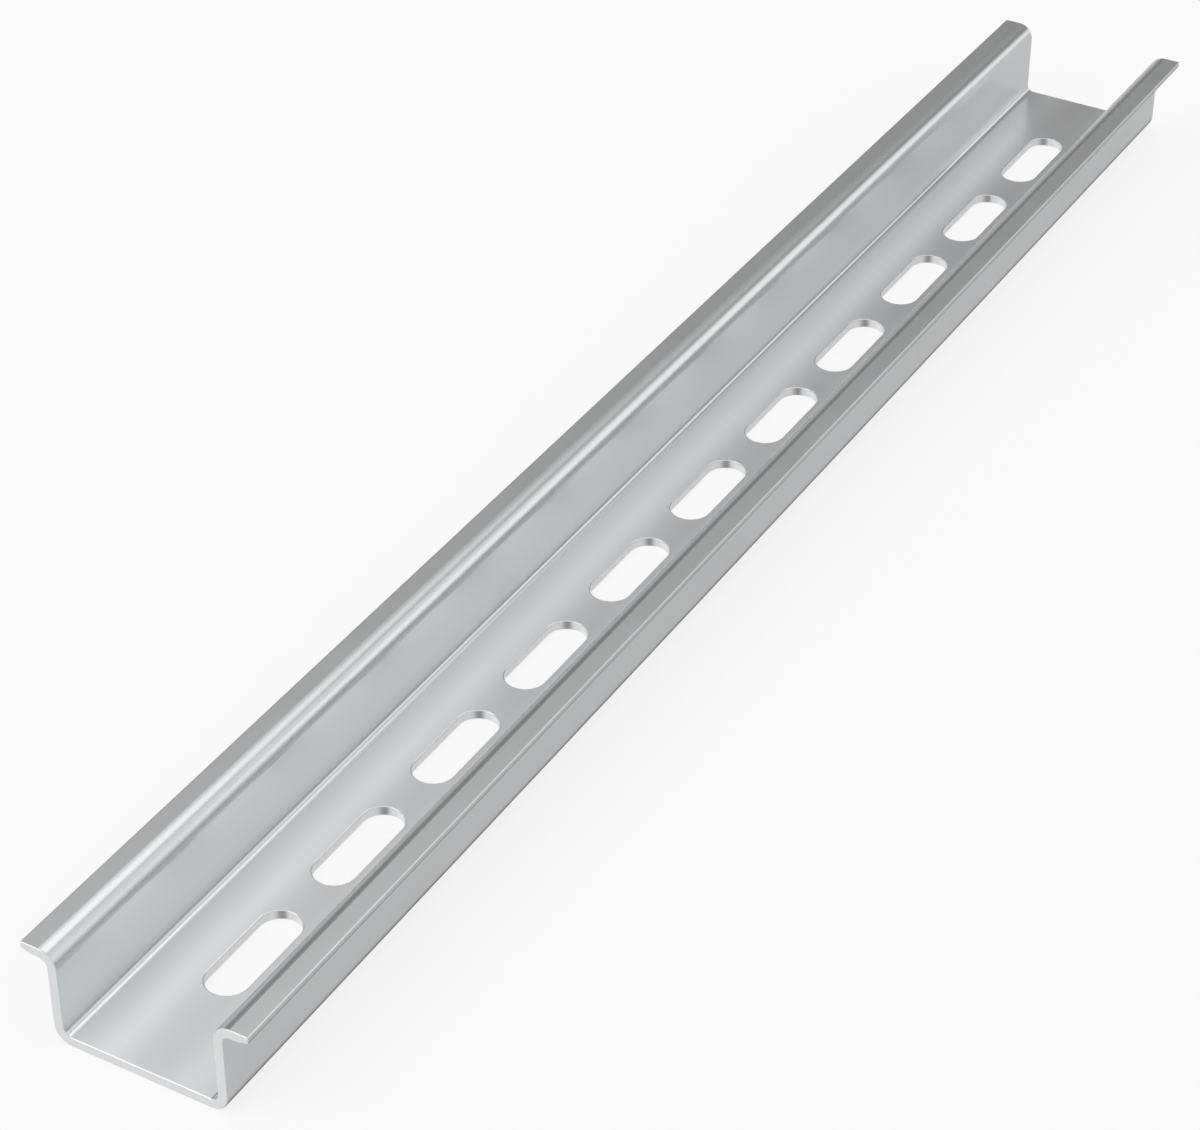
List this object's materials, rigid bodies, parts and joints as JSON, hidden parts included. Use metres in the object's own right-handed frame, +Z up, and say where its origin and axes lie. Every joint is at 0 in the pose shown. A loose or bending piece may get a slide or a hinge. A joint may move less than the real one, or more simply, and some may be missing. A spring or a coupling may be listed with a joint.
{
  "type": "din rail",
  "caption": "Top-hat mounting rail of bent zinc-plated steel sheet: an open channel with flanges turned outwards and a row of long slots through its floor.",
  "frame": {"origin": "middle of the rail's length and width, on the underside of the channel's floor", "axes": "+X along the rail, +Y across it, +Z up out of the open channel"},
  "size_m": [0.3, 0.035, 0.015],
  "materials": {
    "zinc_steel": "bright zinc plating on cold-rolled sheet, satin with soft streaks along the rail"
  },
  "bodies": {
    "root": {"din_rail": "zinc_steel"}
  },
  "joints": []
}
